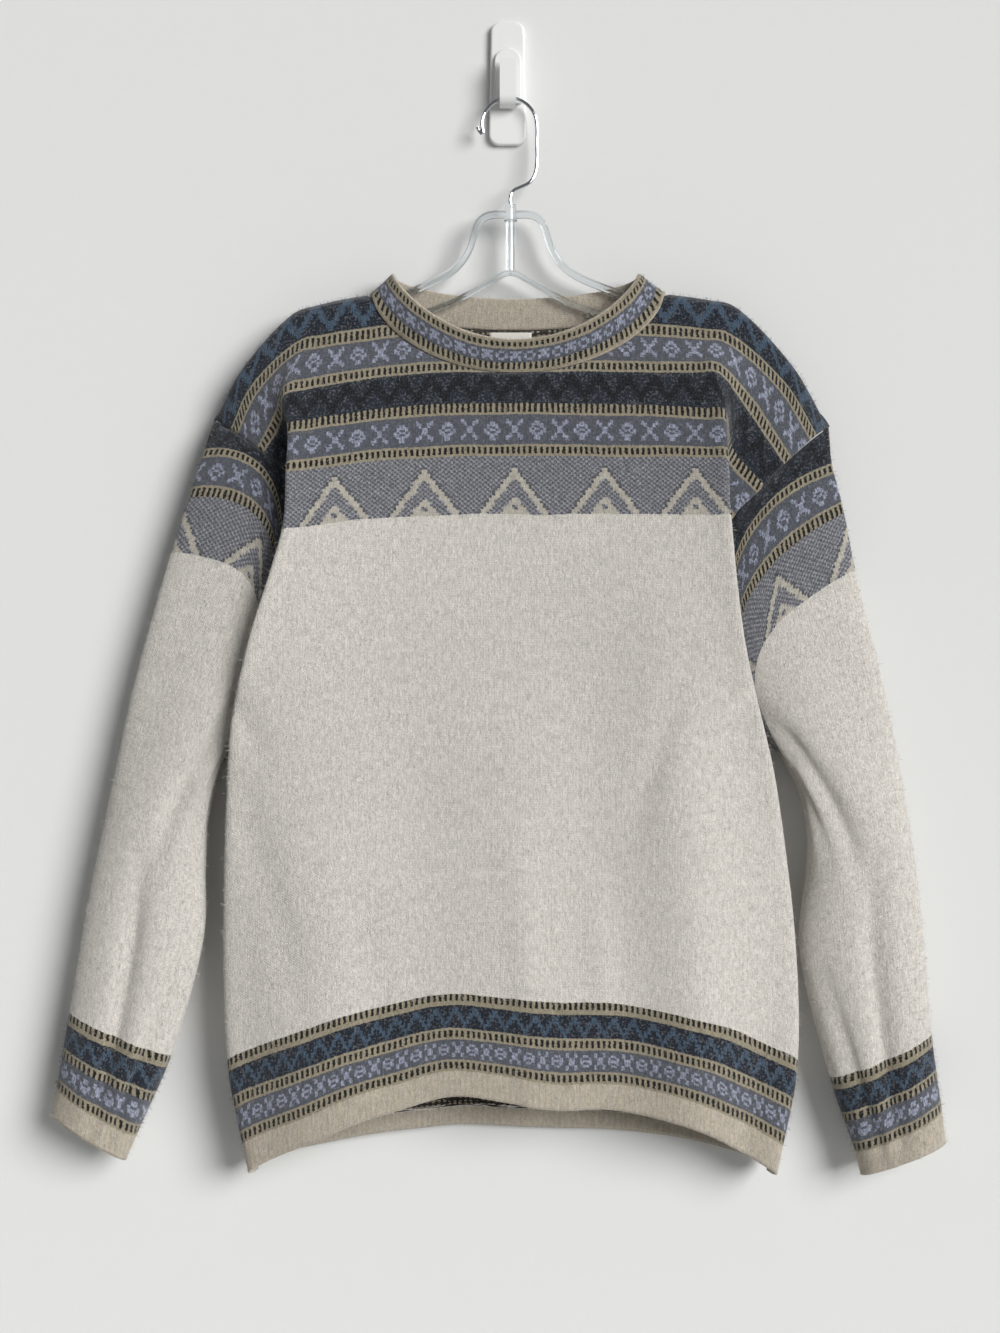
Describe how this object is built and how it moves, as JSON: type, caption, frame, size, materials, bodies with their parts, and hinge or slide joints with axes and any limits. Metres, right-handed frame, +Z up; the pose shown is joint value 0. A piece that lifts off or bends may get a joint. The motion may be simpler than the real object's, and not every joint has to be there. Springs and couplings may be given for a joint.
{
  "type": "fair isle jumper on a clear hanger and adhesive wall hook",
  "caption": "Drop-shoulder crew-neck wool jumper with patterned yoke, hem and cuffs, hanging on a clear plastic hanger from a white wall hook.",
  "frame": {"origin": "middle of the wall plate's flat back, which lies on the wall", "axes": "+X to the viewer's right along the wall, +Y into the wall, +Z up"},
  "size_m": [0.674, 0.0634, 0.8765],
  "materials": {
    "wool_knit": "brushed and felted, patterned in blue, navy, lilac, grey and tan on cream",
    "neckband_knit": "patterned outside, tan rib inside",
    "woven_label": "plain woven, blank",
    "clear_polystyrene": "clear moulded plastic",
    "chromed_wire": "bright",
    "white_abs": "satin moulded plastic"
  },
  "bodies": {
    "root": {"front_panel": "wool_knit", "back_panel": "wool_knit", "sleeve_left": "wool_knit", "sleeve_right": "wool_knit", "neckband": "neckband_knit", "neck_label": "woven_label", "hanger": "clear_polystyrene", "hanger_hook": "chromed_wire", "wall_plate": "white_abs", "wall_hook": "white_abs"}
  },
  "joints": []
}
